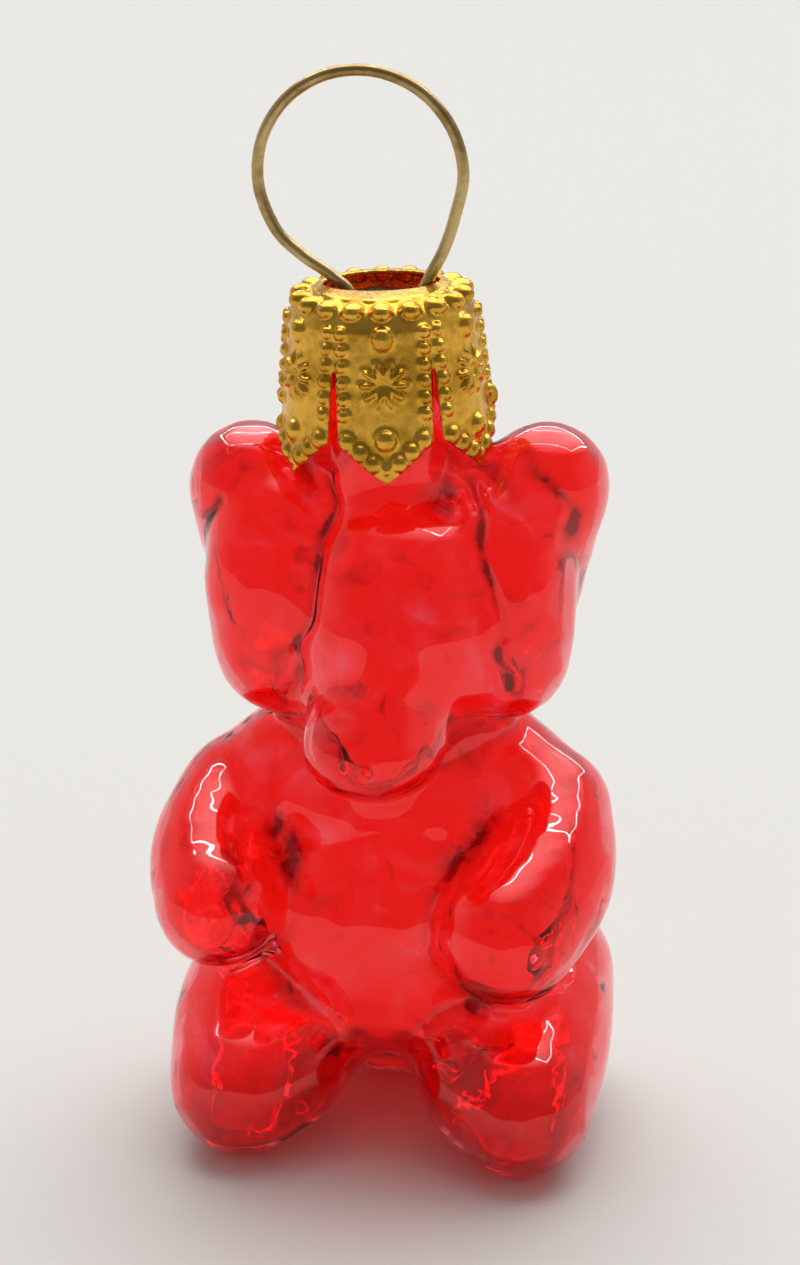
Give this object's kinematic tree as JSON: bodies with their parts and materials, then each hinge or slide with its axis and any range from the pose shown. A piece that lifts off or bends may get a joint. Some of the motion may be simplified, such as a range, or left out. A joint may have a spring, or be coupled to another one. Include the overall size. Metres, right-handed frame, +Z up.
{
  "type": "glass bear ornament",
  "caption": "Hollow blown-glass bear ornament, clear outside and red within, with a stamped gold metal cap over its neck and a brass wire loop to hang it by.",
  "frame": {"origin": "on the floor plane, below the middle of the box round the whole part", "axes": "+Z up, the bear's face towards -Y, its left paw towards +X"},
  "size_m": [0.0322, 0.0266, 0.0732],
  "materials": {
    "red_glass": "clear blown glass, wall coloured red on the inside, glossy",
    "gold_cap": "thin gold-coloured stamped sheet with a beaded pattern",
    "brass_wire": "dull aged brass wire"
  },
  "bodies": {
    "root": {"glass_bear": "red_glass", "cap": "gold_cap", "hanger": "brass_wire"}
  },
  "joints": []
}
